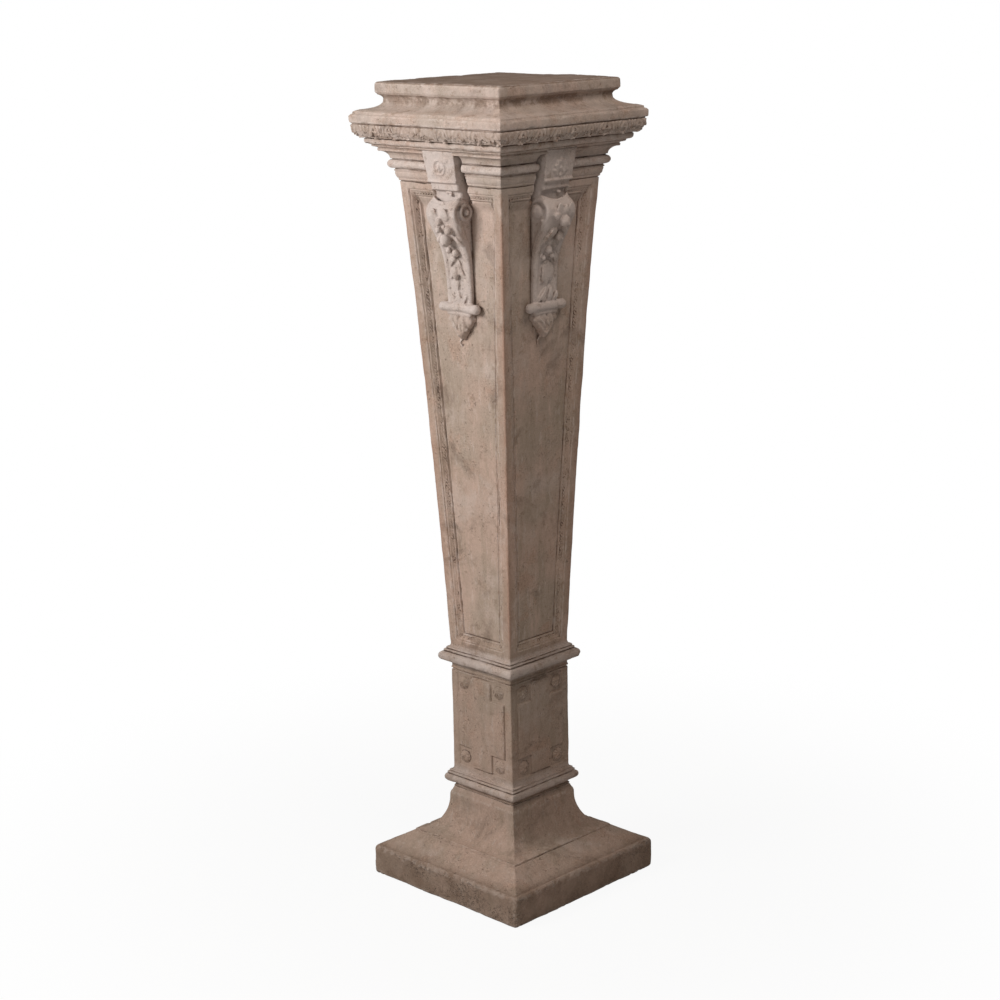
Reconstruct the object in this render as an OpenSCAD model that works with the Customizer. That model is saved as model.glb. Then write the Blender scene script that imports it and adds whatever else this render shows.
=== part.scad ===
// Tapered square pedestal with a moulded capital, four scroll brackets,
// sunk panels and a stepped plinth.  Millimetres, +Z up, origin at the
// centre of the underside.

/* [Overall] */
// Height from the underside to the top slab
height = 1190; // [1060:10:1320]

/* [Plinth and base] */
// Width of the plinth across its flats
plinth_w = 300; // [292:1:308]
// Height of the plinth's upright edge
plinth_h = 47; // [40:1:52]
// Width of the raised pad at its top
pad_w = 210; // [200:1:220]
// Rise of the sloping pad above the plinth
pad_rise = 23; // [18:1:26]
// Height of the hollow above the pad
scotia_h = 54; // [46:1:62]
// Width at the top of the hollow
scotia_neck_w = 134; // [130:1:138]

/* [Lower block] */
// Width of the block below the shaft
block_w = 123.4; // [118:0.2:126]
// Height of the block between its two collars
block_h = 157; // [140:1:170]
// Reach of the lower collar beyond the block
low_collar_out = 11.3; // [8:0.1:13]
// Reach of the upper collar beyond the block
high_collar_out = 13.6; // [10:0.1:15]
// Margin left beside the raised cross
cross_margin = 14; // [10:1:17]
// Side of the small corner squares
corner_square = 27; // [22:1:30]
// Thickness of the raised cross
cross_raise = 3; // [2:0.5:4]
// Radius of the small corner rosettes
corner_rosette_r = 9; // [6:0.5:10]

/* [Shaft] */
// Width of the shaft at its foot
shaft_foot_w = 123.2; // [118:0.2:126]
// Width of the shaft at its head
shaft_head_w = 199.4; // [190:0.2:206]
// Extra curve outward at the head
shaft_flare = 7; // [4:0.5:10]
// Margin between a corner and a sunk panel
panel_margin = 15; // [12:0.5:17]
// Width of the carved band around a panel
panel_band = 10.5; // [8:0.5:12]
// Depth of a panel at its foot
panel_foot_depth = 7; // [5:0.5:8]
// Depth of a panel at its head
panel_head_depth = 14.5; // [11:0.5:16]

/* [Capital] */
// Width of the widest moulding
cornice_w = 299; // [290:1:304]
// Width of the top slab
slab_w = 244.6; // [238:0.2:250]

/* [Brackets] */
// Width of a bracket
bracket_w = 52; // [46:1:56]
// Width of the tablet above a bracket
tablet_w = 59; // [56:1:62]
// How far a bracket stands out of the panel at its foot
bracket_foot_out = 8.5; // [7:0.5:10]
// How much further it stands out at its head
bracket_head_out = 30; // [26:1:32]
// Radius of the eye disc of a scroll
scroll_eye_r = 10.5; // [9:0.5:12]
// Length of the roll at a bracket's foot
roll_len = 78; // [70:1:82]
// Radius of that roll
roll_r = 7.2; // [6:0.2:8]
// Gap between a bracket and the cut ends of the mouldings
side_gap = 6; // [4:1:8]

/* [Hidden] */
$fn = 48;
stone = [0.66, 0.59, 0.53];

base_top = plinth_h + pad_rise + scotia_h + 15;
block_z0 = base_top + 33;
block_z1 = block_z0 + block_h;
shaft_z0 = block_z1 + 38;
shaft_z1 = height - 140;
shaft_len = shaft_z1 - shaft_z0;
half_block = block_w / 2;
half_head = shaft_head_w / 2;
bevel = 15;
panel_z0 = shaft_z0 + 7;
panel_z1 = shaft_z1 - 8;
bracket_half = bracket_w / 2;
scroll_z = height - 175.5;
roll_z = height - 311.5;

// Half width of the shaft at a height
function shaft_half(z) =
    let (t = (z - shaft_z0) / shaft_len)
    shaft_foot_w / 2 + t * (half_head - shaft_foot_w / 2 - shaft_flare) + shaft_flare * pow(t, 3);

// Distance from the axis to the sunk panel at a height
function panel_half(z) =
    let (t = (z - shaft_z0) / shaft_len)
    (shaft_foot_w / 2 - panel_foot_depth) * (1 - t) + (half_head - panel_head_depth) * t;

// Points of an elliptical arc about c, with half sizes r, from angle a to b
function arc(c, r, a, b, n) =
    [for (i = [0:n]) let (t = a + (b - a) * i / n) [c[0] + r[0] * cos(t), c[1] + r[1] * sin(t)]];

// A list of [half width, height] points, lifted by z
function lifted(points, z) = [for (p = points) [p[0], p[1] + z]];

// Half width against height, from the underside up
function plinth_line() =
    let (w = plinth_w / 2, z = plinth_h)
    concat(
        arc([w - 4, 4], [4, 4], -90, 0, 4),
        arc([w - 5, z - 5], [5, 5], 0, 90, 5),
        [[w - 5.2, z - 1.2], [w - 6.4, z - 0.4], [w - 7.5, z + 2]],
        [[pad_w / 2 + 1.5, z + pad_rise - 0.5], [pad_w / 2, z + pad_rise - 1], [pad_w / 2, z + pad_rise + 2]]);

function scotia_line() =
    let (w = scotia_neck_w / 2, z = plinth_h + pad_rise + 2, reach = pad_w / 2 - 1 - w)
    concat(
        arc([w + reach, z + scotia_h - 2], [reach, scotia_h - 2], 270, 180, 12),
        arc([w - 4, z + scotia_h], [4, 8], 0, 70, 4),
        [[half_block + 0.4, base_top]]);

function low_collar_line() =
    let (w = half_block, out = low_collar_out)
    lifted(concat(
        [[w + 0.8, 2], [w + 0.8, 4]],
        arc([w + out - 2, 4.5], [out - 2.8, 8.5], 180, 90, 5),
        arc([w + out - 3, 16], [3, 3], -80, 60, 5),
        [[w + out - 2.8, 20], [w + out - 3.6, 21.5], [w + out - 4.2, 23.5]],
        [[w + out - 6, 25], [w + out - 7, 26.5]],
        arc([w + 3.4, 33], [3.4, 5.5], 270, 180, 4)), base_top);

function high_collar_line() =
    let (w = half_block, out = high_collar_out, foot = shaft_foot_w / 2)
    lifted(concat(
        [[w, -3], [w + 0.9, -2], [w + 0.9, 0], [w + 0.3, 1], [w + 1.4, 2], [w + 1.4, 4]],
        arc([w + out - 2.2, 5], [out - 3.6, 9], 180, 90, 5),
        arc([w + out - 4, 18], [4, 4], -65, 50, 6),
        [[w + 8.6, 27], [w + 7.6, 28], [w + 7.2, 27.6], [w + 6, 30], [w + 5, 31], [w + 4.6, 30.6]],
        arc([foot + 4, 38], [4, 6.5], 270, 180, 4)), block_z1);

function shaft_line() =
    let (steps = 12)
    [for (i = [1:steps]) let (z = shaft_z0 + shaft_len * i / steps) [shaft_half(z), z]];

// The capital's profile is set out downward from the top of the slab
function capital_line() =
    let (w = half_head, c = cornice_w / 2, s = slab_w / 2)
    lifted(concat(
        [[w + 0.2, -138], [w - 0.4, -137.4], [w + 0.6, -136.8], [w + 0.8, -134.6], [w + 0.2, -134]],
        arc([w + 5, -133.4], [4, 3.8], 180, 90, 4),
        [[w + 5.3, -129], [w + 5.3, -122.6], [w + 4.6, -122], [w + 6.6, -121.4], [w + 6.6, -120]],
        arc([w + 6.8, -113.6], [5.6, 6], -80, 78, 9),
        arc([c - 28.5, -107], [11.5, 11.5], 180, 90, 6),
        [[c - 28.5, -95.5], [c - 28.5, -88.6], [c - 29.2, -88], [c - 22, -87], [c - 21.2, -85.6]],
        [[c - 15, -85.2], [c - 15, -78], [c - 15.6, -77.4]],
        arc([c - 15, -58], [13, 18.5], -80, -5, 8),
        [[c - 1.6, -57.4]],
        arc([c - 2, -54.4], [2, 2.4], -70, 0, 3),
        arc([c - 2.6, -47], [2.6, 2.6], 0, 80, 4),
        [[c - 4.6, -44], [c - 4.6, -40.4]],
        arc([c - 8, -26], [28, 12.5], 262, 190, 9),
        arc([s + 0.5, -24], [9.3, 7], 176, 110, 5),
        arc([s - 4, -13], [4, 3.4], -60, 0, 3),
        arc([s - 4, -4], [4, 4], 0, 90, 5)), height);

// Solid of one profile on a square plan
module squared(points) {
    reach = max([for (p = points) p[0]]);
    outline = concat(points, [for (i = [len(points) - 1:-1:0]) [-points[i][0], points[i][1]]]);
    intersection_for (turn = [0, 90])
        rotate([0, 0, turn]) rotate([90, 0, 0])
            linear_extrude(height = 2 * reach + 2, center = true) polygon(outline);
}

// Extrudes an outline of [distance from the axis, height] across the -Y face
module across_face(width) {
    rotate([90, 0, -90]) linear_extrude(height = width, center = true) children();
}

// Cutter of one sunk panel with its sloping band
module panel_cutter() {
    levels = concat([panel_z0], [for (i = [0:8]) panel_z0 + bevel + (panel_z1 - panel_z0 - 2 * bevel) * i / 8],
        [panel_z1]);
    last = len(levels) - 1;
    points = [for (i = [0:last])
        let (z = levels[i], h = shaft_half(z), outer = h - panel_margin, ends = (i == 0 || i == last))
        let (inner = ends ? outer - 0.1 : outer - panel_band, floor_n = ends ? h - 0.1 : panel_half(z))
        for (p = [[-outer, h + 6], [-outer, h], [-inner, floor_n], [inner, floor_n], [outer, h], [outer, h + 6]])
            [p[0], -p[1], z]];
    sides = [for (i = [0:last - 1], k = [0:5]) let (a = 6 * i + k, b = 6 * i + (k + 1) % 6) [a, b, b + 6, a + 6]];
    polyhedron(points = points, faces = concat([[5, 4, 3, 2, 1, 0]], sides, [[for (k = [0:5]) 6 * last + k]]));
}

// Slots that stop the mouldings on each side of a bracket
module slot_cutters() {
    deep = half_head - 8;
    for (side = [-1, 1])
        translate([side * (bracket_half + side_gap / 2 + 0.5), -deep - 15, shaft_z1 + 16])
            cube([side_gap + 1, 30, 52], center = true);
}

// How far the bracket's front stands from the axis at a height
function bracket_front(z) =
    panel_half(z) + bracket_foot_out + bracket_head_out / (1 + exp((scroll_z - 35.5 - z) / 13.5));

// Outline of the bracket's side: the curved front, then the scroll over its top
function bracket_outline() =
    let (eye_n = panel_half(scroll_z) + 13.5, back = panel_half(roll_z) - 6)
    let (top_r = bracket_front(scroll_z) - eye_n)
    concat(
        [[back, roll_z]],
        [for (i = [0:12]) let (z = roll_z + (scroll_z - roll_z) * i / 12) [bracket_front(z), z]],
        [for (a = [15:15:165]) let (r = top_r * (1 - 0.42 * a / 165)) [eye_n + r * cos(a), scroll_z + r * sin(a)]],
        [[back, scroll_z]]);

module bracket_body() {
    across_face(bracket_w) polygon(bracket_outline());
    edge = 3.5;
    for (side = [-1, 1])
        translate([side * (bracket_half - edge / 2), -1.2, 0])
            across_face(edge) polygon(bracket_outline());
}

// The neck between the tablet and the scroll
module bracket_neck() {
    across_face(bracket_w) polygon([
        [half_head - 18, shaft_z1 - 22], [half_head + 5, shaft_z1 - 22],
        [half_head + 10, shaft_z1 + 5], [half_head + 10, shaft_z1 + 50], [half_head - 18, shaft_z1 + 50]]);
}

// Disc, ring and boss of the scroll on both sides of a bracket
module scroll_eyes() {
    eye_n = panel_half(scroll_z) + 13.5;
    for (side = [-1, 1])
        translate([side * bracket_half, -eye_n, scroll_z]) rotate([0, 90, 0]) {
            difference() {
                cylinder(h = 3, r = scroll_eye_r, center = true);
                cylinder(h = 8, r = scroll_eye_r - 3, center = true);
            }
            sphere(r = 4);
        }
}

// Roll across the bracket's foot, with rounded ends
module foot_roll() {
    n = panel_half(roll_z) + 8;
    straight = roll_len - 2 * roll_r;
    translate([0, -n, roll_z]) {
        rotate([0, 90, 0]) cylinder(h = straight, r = roll_r, center = true);
        for (side = [-1, 1]) translate([side * straight / 2, 0, 0]) sphere(r = roll_r);
    }
}

// Hanging leaf below the roll: lobes that shrink toward the tip, and a drop
module pendant_leaf() {
    lobes = 5;
    for (i = [0:lobes - 1], side = [-1, 1]) {
        t = i / (lobes - 1);
        z = roll_z - 10 - 28 * t;
        translate([side * (17 - 14 * t), -panel_half(z), z]) sphere(r = 8.5 - 3.5 * t);
    }
    translate([0, -panel_half(roll_z - 14), roll_z - 14]) sphere(r = 9);
    translate([0, -panel_half(roll_z - 52) + 1, roll_z - 52]) sphere(r = 4.5);
}

// Garland of fruit down the bracket's front, as [across, height above the roll, radius]
module fruit_garland() {
    fruits = [
        [-8, 117, 6], [9, 116, 6], [0, 108, 7], [10, 99, 7], [-9, 98, 6], [1, 90, 9], [-11, 88, 5.5],
        [-4, 74, 4.5], [6, 73, 5.5], [5, 66, 5], [-2, 55, 4.5], [3, 47, 6], [0, 28, 4]];
    for (f = fruits)
        translate([f[0], -bracket_front(roll_z + f[1]) + 0.25 * f[2], roll_z + f[1]]) sphere(r = f[2]);
}

// Sloping tablet with a lip along its foot
module tablet() {
    foot_z = shaft_z1 + 5;
    top_z = shaft_z1 + 50;
    foot_n = half_head + 15.5;
    top_n = half_head + 23.5;
    across_face(tablet_w) polygon([
        [half_head, foot_z], [foot_n, foot_z], [foot_n + 1.5, foot_z + 3], [foot_n, foot_z + 4.5],
        [top_n, top_z], [half_head, top_z]]);
    tilt = atan((top_n - foot_n) / (top_z - foot_z - 4.5));
    translate([0, -(foot_n + top_n) / 2 - 0.2, (foot_z + top_z) / 2 + 1]) rotate([90 + tilt, 0, 0]) tablet_rosette();
}

// Rosette of a ring of petals round a boss, facing +Z
module tablet_rosette() {
    petals = 8;
    for (i = [0:petals - 1])
        rotate([0, 0, 360 * i / petals]) translate([9, 0, -1.6]) sphere(r = 4.2);
    cylinder(h = 4, r = 8, center = true);
    translate([0, 0, 0.6]) sphere(r = 3.6);
}

// Raised cross, corner squares' rosettes of one face of the lower block
module block_face() {
    mid_z = (block_z0 + block_z1) / 2;
    reach = half_block - cross_margin;
    rise = block_h / 2 - 7;
    arm = reach - corner_square;
    shoulder = rise - corner_square - 2;
    translate([0, -half_block + 2, mid_z]) rotate([90, 0, 0])
        linear_extrude(height = cross_raise + 2) polygon([
            [-reach, -shoulder], [-arm, -shoulder], [-arm, -rise], [arm, -rise], [arm, -shoulder],
            [reach, -shoulder], [reach, shoulder], [arm, shoulder], [arm, rise], [-arm, rise],
            [-arm, shoulder], [-reach, shoulder]]);
    for (x = [-1, 1], z = [-1, 1])
        translate([x * (reach - corner_square / 2 + 2), -half_block + 1, mid_z + z * (rise - corner_square / 2)])
            rotate([90, 0, 0]) corner_rosette();
}

// Small fluted button in a corner square
module corner_rosette() {
    cylinder(h = 6, r = corner_rosette_r, center = true);
    for (i = [-1:1])
        translate([i * corner_rosette_r * 0.42, 0, 1.8]) sphere(r = corner_rosette_r * 0.42);
}

module pedestal() color(stone) {
    difference() {
        squared(concat(
            plinth_line(), scotia_line(), low_collar_line(), high_collar_line(), shaft_line(), capital_line()));
        for (turn = [0:90:270]) rotate([0, 0, turn]) {
            panel_cutter();
            slot_cutters();
        }
    }
    for (turn = [0:90:270]) rotate([0, 0, turn]) {
        bracket_body();
        bracket_neck();
        scroll_eyes();
        foot_roll();
        pendant_leaf();
        fruit_garland();
        tablet();
        block_face();
    }
}

pedestal();
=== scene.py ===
"""Tapered square pedestal pillar in worn cast stone.

The stone is one casting.  It is modelled as a base, a lower block, a shaft and
a capital that meet in their grooves, with four scroll brackets and the small
carving set on them.  Shapes are worked out in millimetres and made in metres.
"""
import math
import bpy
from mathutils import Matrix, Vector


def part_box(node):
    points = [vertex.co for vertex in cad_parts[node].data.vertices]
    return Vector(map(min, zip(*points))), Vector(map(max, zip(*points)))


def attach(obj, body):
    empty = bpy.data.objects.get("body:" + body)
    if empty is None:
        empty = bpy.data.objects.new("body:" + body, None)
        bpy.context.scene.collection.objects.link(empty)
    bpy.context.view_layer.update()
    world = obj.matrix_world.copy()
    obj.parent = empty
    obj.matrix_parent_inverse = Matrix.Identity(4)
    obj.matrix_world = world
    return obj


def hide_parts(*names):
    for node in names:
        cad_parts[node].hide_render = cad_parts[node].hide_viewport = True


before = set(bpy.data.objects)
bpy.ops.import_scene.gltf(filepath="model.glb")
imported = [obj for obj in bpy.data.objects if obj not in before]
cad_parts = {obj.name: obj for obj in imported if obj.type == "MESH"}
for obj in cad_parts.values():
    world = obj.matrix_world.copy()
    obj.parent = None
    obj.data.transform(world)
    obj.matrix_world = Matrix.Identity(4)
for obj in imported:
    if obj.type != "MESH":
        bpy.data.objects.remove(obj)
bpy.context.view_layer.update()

from types import SimpleNamespace

import bmesh
import bpy
import numpy as np
from mathutils import Matrix, Vector

MM = 0.001
scene = bpy.context.scene
low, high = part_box("pedestal")

# ------------------------------------------------------------------ sizes, mm
height = round((high.z - low.z) / MM, 2)
plinth_w = round((high.x - low.x) / MM, 2)
plinth_h = 47.0
pad_w = 210.0
pad_rise = 23.0
scotia_h = 54.0
scotia_neck_w = 134.0
block_w = 123.4
block_h = 157.0
shaft_foot_w = 123.2
shaft_head_w = 199.4
shaft_flare = 7.0
panel_margin = 15.0
panel_band = 10.5
panel_head_slope = 24.0
panel_foot_depth = 7.0
panel_head_depth = 14.5
cornice_w = 299.0
slab_w = 244.6
bracket_foot_out = 8.5
bracket_head_out = 30.0

base_top = plinth_h + pad_rise + scotia_h + 15
block_z0 = base_top + 33
block_z1 = block_z0 + block_h
shaft_z0 = block_z1 + 38
shaft_z1 = height - 140
shaft_len = shaft_z1 - shaft_z0
half_block = block_w / 2
half_head = shaft_head_w / 2
panel_z0 = shaft_z0 + 7
panel_z1 = shaft_z1 - 8
scroll_z = height - 175.5
roll_z = height - 311.5
tablet_z0 = shaft_z1 + 5
tablet_z1 = shaft_z1 + 50
slot_top = height - 98
slot_half = 33.0


def shaft_half(z):
    """Half width of the shaft at a height."""
    t = (z - shaft_z0) / shaft_len
    return shaft_foot_w / 2 + t * (half_head - shaft_foot_w / 2 - shaft_flare) + shaft_flare * t ** 3


def panel_half(z):
    """Distance from the axis to the sunk panel at a height."""
    t = (z - shaft_z0) / shaft_len
    return (shaft_foot_w / 2 - panel_foot_depth) * (1 - t) + (half_head - panel_head_depth) * t


def bracket_front(z):
    """Distance from the axis to the front of a bracket at a height."""
    swell = bracket_head_out / (1 + np.exp((scroll_z - 35.5 - z) / 13.5))
    return panel_half(z) + bracket_foot_out + swell


# ------------------------------------------------------------------- profiles
def arc(centre, radii, start, end, steps):
    """Points of an elliptical arc from one angle to another, in degrees."""
    turns = np.radians(np.linspace(start, end, steps + 1))
    return [(centre[0] + radii[0] * math.cos(t), centre[1] + radii[1] * math.sin(t)) for t in turns]


def lifted(points, z):
    return [(p[0], p[1] + z) for p in points]


def out_from(w, *steps):
    """Points from (how far out of a width, height)."""
    return [(w + out, z) for out, z in steps]


def plinth_line():
    w, z, pad = plinth_w / 2, plinth_h, pad_w / 2
    return (arc((w - 5, 5), (5, 5), -90, 0, 7)
            + arc((w - 6.5, z - 7), (6.5, 7), 0, 84, 9)
            + out_from(w, (-6.6, z - 0.9), (-8.2, z + 0.3), (-9.5, z + 2))
            + out_from(pad, (1.6, z + pad_rise - 0.5), (0.5, z + pad_rise - 1.2), (0, z + pad_rise + 2)))


def scotia_line():
    w, z = scotia_neck_w / 2, plinth_h + pad_rise + 2
    reach = pad_w / 2 - 1 - w
    return (arc((w + reach, z + scotia_h - 2), (reach, scotia_h - 2), 270, 180, 24)
            + arc((w - 4, z + scotia_h), (4, 8), 0, 70, 6)
            + [(half_block + 0.4, base_top)])


def low_collar_line():
    w = half_block
    return lifted(
        out_from(w, (-2.2, -1.6), (-1.8, 0.4), (0.4, 0.9), (0.6, 2.3), (-0.8, 2.9), (-1.0, 4.4))
        + arc((w + 4.6, 4.4), (5.8, 3.9), 180, 90, 6)
        + arc((w + 4.2, 15.6), (6.6, 7.2), -84, 38, 12)
        + out_from(w, (8.6, 20.8), (6.4, 21.3), (6.2, 22.3), (7.8, 22.8), (7.0, 24.4), (4.6, 24.9),
                   (4.2, 25.8), (5.2, 26.3), (4.4, 27.6), (2.4, 28.0))
        + arc((w + 2.6, 33), (2.6, 5), 270, 180, 6), base_top)


def high_collar_line():
    w, foot = half_block, shaft_foot_w / 2
    return lifted(
        out_from(w, (0, -3.4), (-1.3, -2.8), (-1.2, -1.5), (0.4, -0.8), (0.5, 1.0), (-0.5, 1.7),
                 (-0.5, 4.6))
        + arc((w + 8.5, 4.8), (9, 6.7), 180, 90, 8)
        + arc((w + 9.5, 18), (4.6, 6.5), -90, 58, 14)
        + out_from(w, (9.8, 25.0), (7.0, 25.5), (6.6, 26.5), (8.2, 27.0), (7.4, 28.8), (4.8, 29.2),
                   (4.4, 30.2), (5.6, 30.7), (4.8, 32.2), (2.6, 32.6))
        + arc((foot + 2.6, 38), (2.6, 5.2), 270, 180, 6), block_z1)


def capital_line():
    """The capital's profile, set out downward from the top of the slab."""
    w, c, s = half_head, cornice_w / 2, slab_w / 2
    return lifted(
        out_from(w, (-3, -142), (-2.6, -139.4), (-1.2, -138.7), (-0.9, -137.5), (0.8, -136.9),
                 (1.5, -135.4), (1.0, -134.9), (1.1, -134.1), (2.4, -133.3), (4.0, -130), (4.8, -125.9),
                 (4.1, -125.2), (4.3, -124.2), (5.6, -123.6), (5.7, -122.3), (4.5, -121.6),
                 (4.2, -120.2))
        + arc((w + 6.6, -113.6), (5.6, 6.2), -76, 70, 14)
        + out_from(w, (7.2, -107.6), (7.0, -106.8))
        + arc((c - 28.5, -106.5), (12, 11), 180, 90, 9)
        + out_from(c, (-28.4, -95.5), (-28.0, -92.6), (-29.0, -91.8), (-28.4, -90.4), (-24.8, -89.6),
                   (-22.2, -88.9), (-21.9, -87.9), (-22.6, -87.3), (-21.9, -86.5), (-19.8, -86.0))
        + arc((c - 19.5, -81.2), (4.5, 4.8), -80, 0, 6)
        + out_from(c, (-15, -78.2), (-16.8, -77.2))
        + arc((c - 15, -58), (13, 18.5), -78, -8, 14)
        + out_from(c, (-3.6, -57.4), (-3.2, -56.4))
        + arc((c - 2.4, -53.9), (2.4, 2.4), -70, 0, 5)
        + arc((c - 3.2, -47), (3.2, 3.0), 0, 80, 6)
        + out_from(c, (-4.2, -43.7), (-4.6, -43.0), (-4.4, -42.2), (-4.8, -40.6))
        + arc((c - 8, -26), (28, 12.5), 262, 190, 14)
        + arc((s + 0.5, -24), (9.3, 7), 176, 110, 8)
        + arc((s - 4, -13), (4, 3.4), -60, 0, 5)
        + arc((s - 4, -4), (4, 4), 0, 90, 7), height)


def leaf_band_line():
    """The rounded band of carved leaves, a little proud of the capital's own."""
    c = cornice_w / 2
    return lifted([(c - 24, -76.4)] + arc((c - 15, -58), (13.7, 19.2), -74, -2, 18)
                  + [(c - 3.4, -57.3), (c - 16, -56.4)], height)


def rows_along(points, fine, longest):
    """Rows along a profile, close together round its bends and apart on its flats."""
    bend_per_row = 0.24
    points = np.array(points, float)
    run = np.r_[0, np.cumsum(np.hypot(*np.diff(points, axis=0).T))]
    count = int(run[-1] / fine)
    places = np.linspace(0, run[-1], count + 1)
    line = np.stack([np.interp(places, run, points[:, k]) for k in (0, 1)], 1)
    line[1:-1] = (line[:-2] + 2 * line[1:-1] + line[2:]) / 4
    steps = np.diff(line, axis=0)
    heading = np.unwrap(np.arctan2(steps[:, 1], steps[:, 0]))
    keep, turned, gone = [0], 0.0, 0.0
    for i in range(1, count):
        turned += abs(heading[i] - heading[i - 1])
        gone += math.hypot(*steps[i - 1])
        if turned > bend_per_row or gone > longest:
            keep.append(i)
            turned, gone = 0.0, 0.0
    return line[keep + [count]]


# --------------------------------------------------------------- mesh helpers
def grid_faces(rows, cols, wrap):
    """Quads of a grid of points; with wrap its last column joins its first."""
    i, j = np.meshgrid(np.arange(rows - 1), np.arange(cols if wrap else cols - 1), indexing="ij")
    a, b = i * cols + j, i * cols + (j + 1) % cols
    return np.stack([a, b, b + cols, a + cols], -1).reshape(-1, 4)


def loft(rings):
    """Closed solid through rings of points, as points and faces."""
    rings = np.asarray(rings, float)
    rows, cols = rings.shape[:2]
    faces = grid_faces(rows, cols, True).tolist()
    faces.append(list(range(cols))[::-1])
    faces.append(list(range((rows - 1) * cols, rows * cols)))
    return rings.reshape(-1, 3), faces


def joined(solids):
    """Several solids as one list of points and one of faces."""
    points, faces, start = [], [], 0
    for some_points, some_faces in solids:
        points.append(np.asarray(some_points, float))
        faces += [[start + v for v in face] for face in some_faces]
        start += len(some_points)
    return np.concatenate(points), faces


def mesh_object(name, points, faces):
    """Mesh object from points in millimetres, its faces turned outward."""
    mesh = bpy.data.meshes.new(name)
    mesh.from_pydata((np.asarray(points, float) * MM).tolist(), [], [list(f) for f in faces])
    work = bmesh.new()
    work.from_mesh(mesh)
    bmesh.ops.recalc_face_normals(work, faces=work.faces)
    work.to_mesh(mesh)
    work.free()
    obj = bpy.data.objects.new(name, mesh)
    scene.collection.objects.link(obj)
    return obj


def evaluated(obj):
    """Turns an object's modifiers into its plain mesh."""
    ready = obj.evaluated_get(bpy.context.evaluated_depsgraph_get())
    mesh = bpy.data.meshes.new_from_object(ready)
    obj.modifiers.clear()
    old = obj.data
    obj.data = mesh
    bpy.data.meshes.remove(old)
    mesh.name = obj.name
    return obj


def ease(x, start, end):
    """Smooth step from 0 at start to 1 at end."""
    t = np.clip((x - start) / (end - start), 0, 1)
    return t * t * (3 - 2 * t)


def dip(x, centre, width):
    """Soft bell of height 1 round a centre."""
    return np.exp(-((x - centre) / width) ** 2)


# ------------------------------------------------------- the four-sided solids
def columns_from(places):
    """Columns of half a face as (share of the face, millimetres added)."""
    return np.array(places, float)


def spread(steps):
    """Even columns from the middle of a face to its arris."""
    return columns_from([(t, 0) for t in np.linspace(0, 1, steps + 1)])


def quarter_turned(points, turn):
    """Points turned about the axis by a number of quarter turns."""
    points = np.asarray(points, float)
    for _ in range(turn):
        points = np.stack([-points[..., 1], points[..., 0], points[..., 2]], -1)
    return points


def on_four_sides(points, axis=0):
    """The points of one side, followed by those of the other three."""
    return np.concatenate([quarter_turned(points, turn) for turn in range(4)], axis)


def swept(name, line, halves, relief, arris, lids=(), foot_lids=()):
    """Solid on a square plan from rows of (half width, height).

    halves places the columns of half a face, relief gives how far a face is cut
    back at (distance from its middle, height, half width), and arris gives the
    rounding of the corners at a height.  lids are the sizes of the rings that
    close the top, and foot_lids those that close the bottom.
    """
    corner_steps = 3
    h, z = line[:, :1], line[:, 1:]
    r = arris(z)
    half = halves[:, 0] * (h - r) + halves[:, 1]
    lateral = np.concatenate([-half[:, :0:-1], half], 1)
    normal = h - relief(np.abs(lateral), z, h)
    turns = np.radians(np.linspace(0, 90, 2 * corner_steps + 1))[1:-1]
    lateral = np.concatenate([lateral, (h - r) + r * np.sin(turns)], 1)
    normal = np.concatenate([normal, (h - r) + r * np.cos(turns)], 1)
    side = np.stack([lateral, -normal, np.broadcast_to(z, lateral.shape)], -1)
    points = on_four_sides(side, 1)
    top = [points[-1:] * (s, s, 1) for s in lids]
    foot = [points[:1] * (s, s, 1) for s in foot_lids]
    return mesh_object(name, *loft(np.concatenate(foot + [points] + top)))


def no_relief(across, z, h):
    return np.zeros_like(across + z)


# ----------------------------------------------------------- base and its hollow
def base_arris(z):
    return 1.6 + 2.6 * ease(z, plinth_h + 3, plinth_h - 3)


def make_base():
    line = rows_along(plinth_line() + scotia_line(), 0.6, 2.8)
    return swept("base", line, spread(42), no_relief, base_arris,
                 foot_lids=(0.02, 0.3, 0.6, 0.85, 0.97))


# ------------------------------------------------------------------ lower block
cross_reach = half_block - 14
corner_square = 27.0
cross_rise = block_h / 2 - 7
cross_arm = cross_reach - corner_square
cross_shoulder = cross_rise - corner_square - 2
block_mid = (block_z0 + block_z1) / 2


def cross_inside(across, z):
    """Distance inside the raised cross of the lower block, less than 0 outside it."""
    up = np.abs(z - block_mid)
    wide = np.minimum(cross_reach - across, cross_shoulder - up)
    rounded = np.where(z > block_mid, 9.0, 1.0)
    past = np.hypot(np.maximum(across - cross_arm + rounded, 0), np.maximum(up - cross_rise + rounded, 0))
    tall = np.where(past > 0, rounded - past, np.minimum(cross_arm - across, cross_rise - up))
    return np.maximum(wide, tall)


def block_relief(across, z, h):
    on_face = ease(z, block_z0 + 1, block_z0 + 4) * ease(z, block_z1 - 3.4, block_z1 - 6)
    inside = cross_inside(across, z)
    raised = 2.1 * ease(inside, -0.5, 1.2) + 0.5 * ease(inside, 3.6, 5.0)
    outline = 0.5 * dip(inside, -1.0, 0.8)
    squares = np.minimum(cross_reach + 1 - across, cross_rise + 2 - np.abs(z - block_mid))
    sunk = 1.1 * ease(squares, -0.4, 1.2) * ease(inside, 0, -1.4)
    return on_face * (outline + sunk - raised)


def close_round(places, reach, step):
    """Offsets round each of some places, a step apart within a reach."""
    near = np.arange(-reach, reach + step / 2, step)
    return np.concatenate([place + near for place in places])


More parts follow.
